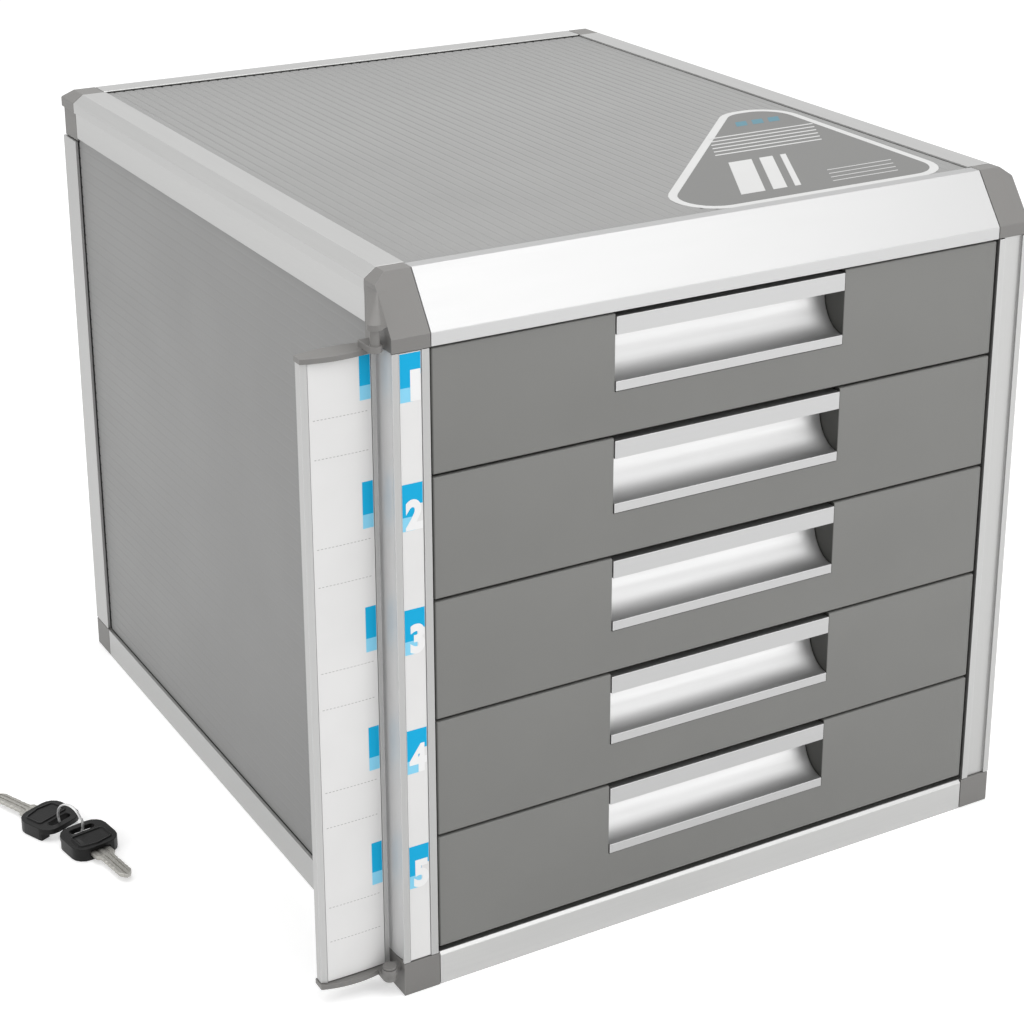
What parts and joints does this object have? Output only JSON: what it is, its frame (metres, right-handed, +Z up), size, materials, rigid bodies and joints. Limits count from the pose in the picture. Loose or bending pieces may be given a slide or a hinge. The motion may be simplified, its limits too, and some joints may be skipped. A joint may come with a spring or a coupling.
{
  "type": "desktop drawer cabinet",
  "caption": "Desktop cabinet for A4 paper with flush drawers, scooped metal pulls, a metal rail frame, ribbed grey panels, a hinged index flap and loose keys.",
  "frame": {"origin": "middle of the underside of the front base rail, on the surface that the cabinet stands on", "axes": "+Z up, +Y from the drawer fronts to the back, +X to the right of someone facing the drawers"},
  "size_m": [0.3975, 0.3549, 0.298],
  "materials": {
    "anodised_aluminium": "satin anodised",
    "bright_aluminium": "bright anodised",
    "corner_plastic": "fine texture",
    "panel_plastic": "ribbed",
    "drawer_plastic": "fine texture",
    "runner_plastic": "moulded",
    "label_card": "printed card",
    "lock_metal": "polished",
    "key_plastic": "moulded",
    "key_metal": "nickel plated"
  },
  "bodies": {
    "cabinet": {"base_rail_front": "anodised_aluminium", "base_rail_back": "anodised_aluminium", "base_rail_left": "anodised_aluminium", "base_rail_right": "anodised_aluminium", "post_front_left": "anodised_aluminium", "post_front_right": "anodised_aluminium", "post_back_left": "anodised_aluminium", "post_back_right": "anodised_aluminium", "top_rail_front": "bright_aluminium", "top_rail_back": "anodised_aluminium", "top_rail_left": "anodised_aluminium", "top_rail_right": "anodised_aluminium", "corner_top_front_left": "corner_plastic", "corner_top_front_right": "corner_plastic", "corner_top_back_left": "corner_plastic", "corner_top_back_right": "corner_plastic", "corner_base_front_left": "corner_plastic", "corner_base_front_right": "corner_plastic", "corner_base_back_left": "corner_plastic", "corner_base_back_right": "corner_plastic", "panel_left": "panel_plastic", "panel_right": "panel_plastic", "panel_back": "panel_plastic", "panel_top": "panel_plastic", "panel_base": "panel_plastic", "runner_left": "runner_plastic", "runner_right": "runner_plastic", "number_strip": "label_card"},
    "flap": {"flap_bar": "anodised_aluminium", "flap_cap_top": "corner_plastic", "flap_cap_bottom": "corner_plastic", "index_card": "label_card", "lock_housing": "lock_metal"},
    "lock": {"lock_plug": "lock_metal", "lock_cam": "key_metal"},
    "drawer_1": {"drawer_front_1": "drawer_plastic", "drawer_tray_1": "runner_plastic", "drawer_pull_1": "anodised_aluminium"},
    "drawer_2": {"drawer_front_2": "drawer_plastic", "drawer_tray_2": "runner_plastic", "drawer_pull_2": "anodised_aluminium"},
    "drawer_3": {"drawer_front_3": "drawer_plastic", "drawer_tray_3": "runner_plastic", "drawer_pull_3": "anodised_aluminium"},
    "drawer_4": {"drawer_front_4": "drawer_plastic", "drawer_tray_4": "runner_plastic", "drawer_pull_4": "anodised_aluminium"},
    "drawer_5": {"drawer_front_5": "drawer_plastic", "drawer_tray_5": "runner_plastic", "drawer_pull_5": "anodised_aluminium"},
    "keys": {"key_head_1": "key_plastic", "key_head_2": "key_plastic", "key_blade_1": "key_metal", "key_blade_2": "key_metal", "key_ring": "key_metal"}
  },
  "joints": [
    {"name": "flap_hinge", "type": "hinge", "parent": "cabinet", "child": "flap", "pos_m": [-0.1549, -0.00475, 0.14], "axis": [0, 0, 1], "range_deg": [0, 180]},
    {"name": "lock_turn", "type": "hinge", "parent": "flap", "child": "lock", "pos_m": [-0.1663, 0.00925, 0.14], "axis": [0, 1, 0], "range_deg": [0, 90]},
    {"name": "drawer_1_slide", "type": "slide", "parent": "cabinet", "child": "drawer_1", "axis": [0, -1, 0], "range_m": [0, 0.24]},
    {"name": "drawer_2_slide", "type": "slide", "parent": "cabinet", "child": "drawer_2", "axis": [0, -1, 0], "range_m": [0, 0.24]},
    {"name": "drawer_3_slide", "type": "slide", "parent": "cabinet", "child": "drawer_3", "axis": [0, -1, 0], "range_m": [0, 0.24]},
    {"name": "drawer_4_slide", "type": "slide", "parent": "cabinet", "child": "drawer_4", "axis": [0, -1, 0], "range_m": [0, 0.24]},
    {"name": "drawer_5_slide", "type": "slide", "parent": "cabinet", "child": "drawer_5", "axis": [0, -1, 0], "range_m": [0, 0.24]},
    {"name": "keys_lift", "type": "slide", "parent": "cabinet", "child": "keys", "axis": [0, 0, 1], "range_m": [0, 0.05]}
  ]
}
